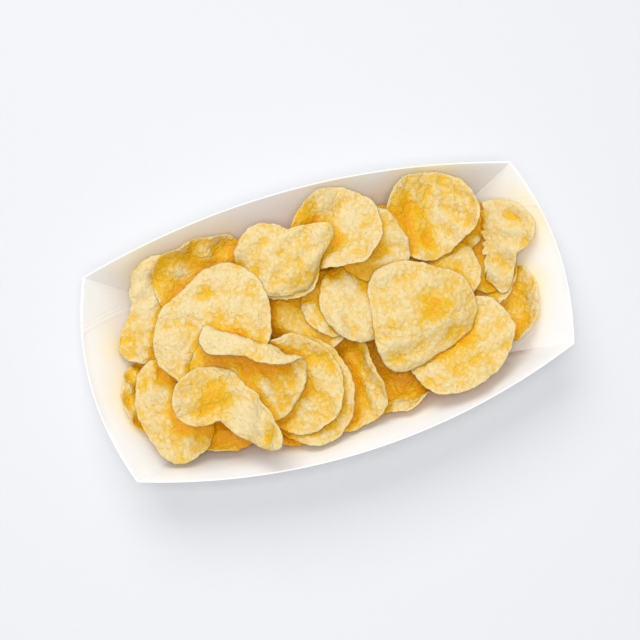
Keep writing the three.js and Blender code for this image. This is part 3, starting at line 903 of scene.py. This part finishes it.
def make_webs(paper, crisps):
    """The four corner webs, glued to the inside of the end walls."""
    vertices = []
    faces = []
    start = 0
    for is_right in (False, True):
        for is_back in (False, True):
            level, part = np.meshgrid(np.linspace(*WEB_LEVELS, WEB_ROWS),
                                      np.linspace(0, 1, WEB_COLUMNS), indexing="ij")
            reach = WEB_REACH * level
            along = (1 if is_back else -1) * mix(1 - reach, 1, part)
            wide = reach * corner_y(level, is_right)
            pressed = emboss(part * wide) + emboss((1 - part) * wide)
            sheets = []
            for off_wall in (WEB_THICKNESS - pressed, GLUE_LINE):
                wall = end_wall_x(level, along, is_right) - WALL_INSET
                x = (1 if is_right else -1) * (wall - off_wall)
                y = along * (corner_y(level, is_right) - WALL_INSET)
                z = level * (CORNER_HEIGHT + END_RISE * bulge(along))
                sheets.append(np.stack([x, y, z], axis=-1))
            if is_right != is_back:
                sheets = sheets[::-1]  # so that the faces still look outwards
            sheet, quads = slab(*sheets)
            vertices.append(sheet)
            faces.append(quads + start)
            start += len(sheet)
    vertices = np.concatenate(vertices)
    webs = make_piece("corner_webs", vertices, np.concatenate(faces), paper,
                      {"warmth": warmth_at(vertices, crisps)})
    webs.data.set_sharp_from_angle(angle=25 * DEGREE)
    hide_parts("tray")


def slab(upper, lower):
    """A closed sheet between two grids of points."""
    rows, columns = upper.shape[:2]
    numbers = np.arange(rows * columns).reshape(rows, columns)
    below = numbers + rows * columns
    quads = [grid_quads(numbers), grid_quads(below)[:, ::-1]]
    border = np.concatenate([numbers[:-1, 0], numbers[-1, :-1], numbers[:0:-1, -1],
                             numbers[0, :0:-1]])
    onward = np.roll(border, -1)
    under = rows * columns
    quads.append(np.stack([onward, border, border + under, onward + under], axis=-1))
    vertices = np.concatenate([upper.reshape(-1, 3), lower.reshape(-1, 3)])
    return vertices, np.concatenate(quads)


# ---- The heap ---------------------------------------------------------------------------


def buried_crisps():
    """Crisps that only show through the gaps between the others."""
    draw = np.random.default_rng(BURIED_SEED)
    crisps = []
    for number in range(BURIED_COUNT):
        angle = draw.uniform(0, 2 * math.pi)
        reach = math.sqrt(draw.uniform(0, 1)) * BURIED_REACH
        crisps.append(Crisp(
            f"buried_{number}",
            reach * CORE_HALF_LENGTH * math.cos(angle), reach * CORE_HALF_WIDTH * math.sin(angle),
            draw.uniform(38, 50), draw.uniform(32, 40), draw.uniform(0, 180),
            curl_to=draw.uniform(0, 360), curl=draw.uniform(10, 40), back=draw.uniform(5, 25),
            lean=draw.uniform(0, 12), lean_to=draw.uniform(0, 360), press=1.5,
            tone=draw.uniform(0.6, 1), number=100 + number,
        ))
    return crisps


def add_hollows(parts):
    """Paints shade into the gaps: deeper gold by how far each point lies below the heap's top,
    smoothed over near and far.
    """
    grid = LevelGrid(HEAP_CELL, 0)
    for vertices, _, _, _ in parts:
        cells = grid.cells(vertices[:, 0], vertices[:, 1])
        np.maximum.at(grid.heights, cells, vertices[:, 2])
    for rounds, low, high, weight in HOLLOWS:
        top = grid.heights
        cover = (top > 0).astype(float)
        for _ in range(rounds):
            top = blurred(top)
            cover = blurred(cover)
        for vertices, _, values, _ in parts:
            x, y, z = vertices.T
            depth = grid.smooth_at(top / np.maximum(cover, 0.01), x, y) - z
            values["hollow"] = values["hollow"] + weight * smooth_step(low, high, depth)


def blurred(grid):
    """The grid with each cell blended with those beside it."""
    wide = np.pad(grid, 1, mode="edge")
    across = (wide[2:, 1:-1] + 2 * grid + wide[:-2, 1:-1]) / 4
    wide = np.pad(across, 1, mode="edge")
    return (wide[1:-1, 2:] + 2 * across + wide[1:-1, :-2]) / 4


def kind_of(crisp):
    """The piece that the crisp goes into."""
    if crisp.torn:
        return "broken_crisps"
    bend = max(abs(crisp.curl), abs(crisp.back))
    if bend > ROLLED_FROM:
        return "rolled_crisps"
    return "curved_crisps" if bend > CURVED_FROM else "flat_crisps"


def make_crisps(fried):
    """All crisps, from the top one down, and a tree of their points to measure from."""
    for number, crisp in enumerate(SHOWN, 1):
        crisp.number = number
    settle(SHOWN)
    buried = buried_crisps()
    settle(buried)
    ceiling = LevelGrid(CEILING_CELL, math.inf)
    kinds = {}
    for crisp in reversed(SHOWN):
        kinds.setdefault(kind_of(crisp), []).append(crisp_mesh(crisp, ceiling, FINE_SPACING))
    for crisp in reversed(buried):
        kinds.setdefault("buried_crisps", []).append(crisp_mesh(crisp, ceiling, COARSE_SPACING))
    all_parts = [part for parts in kinds.values() for part in parts]
    add_hollows(all_parts)
    for kind, parts in kinds.items():
        vertices, faces, values, place = joined(parts)
        piece = make_piece(kind, vertices, faces, fried, values, place)
        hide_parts("crisps")
    return tree_of(np.concatenate([part[0][::TREE_STRIDE] for part in all_parts]))


def tree_of(points):
    """The points in a tree that finds the nearest one."""
    tree = KDTree(len(points))
    for number, point in enumerate(points.tolist()):
        tree.insert(point, number)
    tree.balance()
    return tree


def make_core(fried):
    """The mound under the crisps."""
    angle = np.linspace(0, 2 * math.pi, CORE_STEPS + 1)[1:]
    reach = 1 / core_share(np.cos(angle), np.sin(angle))
    rings = []
    for share, height in CORE_PROFILE:
        rings.append(np.stack([share * reach * np.cos(angle), share * reach * np.sin(angle),
                               np.full(CORE_STEPS, height)], axis=-1))
    vertices = np.concatenate(rings)
    faces = ring_faces(CORE_STEPS, len(rings))
    # The hidden mound takes the full painted shade of the deepest gaps.
    values = {"blister": np.zeros(len(vertices)), "rim": np.zeros(len(vertices)),
              "tone": np.ones(len(vertices)), "hollow": np.ones(len(vertices))}
    core = make_piece("heap_core", vertices, faces, fried, values, vertices)
    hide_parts("crisps")


# ---- The room, the light and the camera -------------------------------------------------


def make_floor():
    mesh = bpy.data.meshes.new("floor")
    half = 3.0
    corners = [(-half, -half, 0), (half, -half, 0), (half, half, 0), (-half, half, 0)]
    mesh.from_pydata(corners, [], [(0, 1, 2, 3)])
    mesh.materials.append(floor_material())
    floor = bpy.data.objects.new("floor", mesh)
    bpy.context.scene.collection.objects.link(floor)


def make_light(name, place, size, power, colour):
    """A square lamp that looks at the tray."""
    light = bpy.data.lights.new(name, "AREA")
    light.size = size
    light.energy = power
    light.color = colour
    lamp = bpy.data.objects.new(name, light)
    lamp.location = place
    lamp.rotation_euler = (-Vector(place)).to_track_quat("-Z", "Y").to_euler()
    bpy.context.scene.collection.objects.link(lamp)


def make_room():
    make_floor()
    make_light("key", place=(-0.1, 1.15, 1.5), size=1.3, power=17.0, colour=(1, 1, 1))
    make_light("overhead", place=(-0.1, -0.3, 1.5), size=0.7, power=11.6, colour=(1, 0.99, 0.97))
    world = bpy.data.worlds.new("studio")
    bpy.context.scene.world = world
    world.use_nodes = True
    background = world.node_tree.nodes["Background"]
    background.inputs["Color"].default_value = (0.96, 0.98, 1, 1)
    background.inputs["Strength"].default_value = 0.45


def make_camera():
    """Looks down from 78 degrees, from the front and a little to the left."""
    lens = bpy.data.cameras.new("camera")
    lens.lens = 66.1
    lens.sensor_width = 36
    lens.clip_start = 0.01
    camera = bpy.data.objects.new("camera", lens)
    place = Vector((-0.0417, -0.1241, 0.6358))
    aim = Vector((-0.00285, 0.00534, 0))
    camera.location = place
    camera.rotation_euler = (aim - place).to_track_quat("-Z", "Y").to_euler()
    bpy.context.scene.collection.objects.link(camera)
    bpy.context.scene.camera = camera


make_camera()
make_room()
bpy.context.scene.view_settings.view_transform = "Standard"
bpy.context.scene.cycles.diffuse_bounces = 8
fried = fried_material(fried_group())
paper = paper_material()
make_core(fried)
crisps = make_crisps(fried)
make_tray(paper, crisps)
make_webs(paper, crisps)
